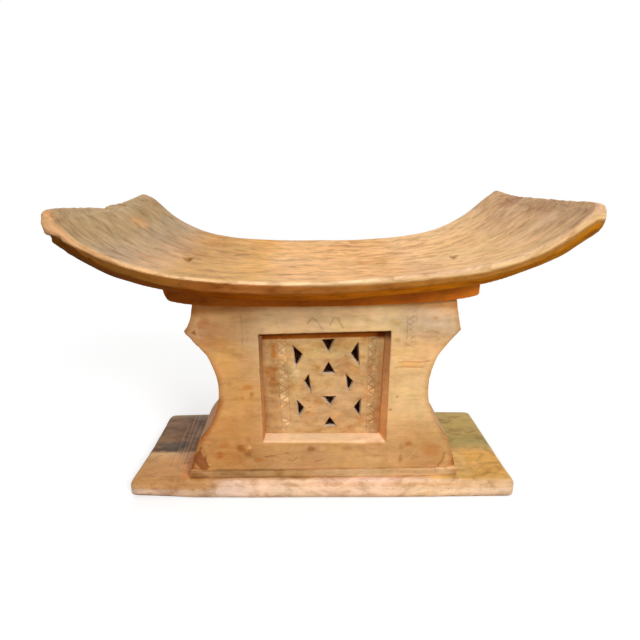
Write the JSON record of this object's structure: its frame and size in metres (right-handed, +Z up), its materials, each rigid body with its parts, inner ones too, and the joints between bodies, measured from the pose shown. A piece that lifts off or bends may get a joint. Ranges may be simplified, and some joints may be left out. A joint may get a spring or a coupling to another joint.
{
  "type": "asante stool",
  "caption": "Low wooden stool with a dished seat that turns up at each end, on a hollow waisted support with pierced panels set in front and back windows, and a stepped base.",
  "frame": {"origin": "on the floor, under the middle of the stool", "axes": "+X along the seat's length, +Y from the front to the back, +Z up"},
  "size_m": [0.56, 0.3, 0.3781],
  "materials": {
    "seat_wood": "satin, worn smooth, greyed at the turned-up ends",
    "cleat_wood": "dull, dark with handling",
    "support_wood": "satin, tool-marked",
    "front_panel_wood": "dull, carved",
    "back_panel_wood": "dull, carved",
    "plinth_wood": "dull, dark",
    "base_wood": "satin, scuffed"
  },
  "bodies": {
    "root": {"seat": "seat_wood", "seat_cleat": "cleat_wood", "support": "support_wood", "front_panel": "front_panel_wood", "back_panel": "back_panel_wood", "plinth": "plinth_wood", "base": "base_wood"}
  },
  "joints": []
}
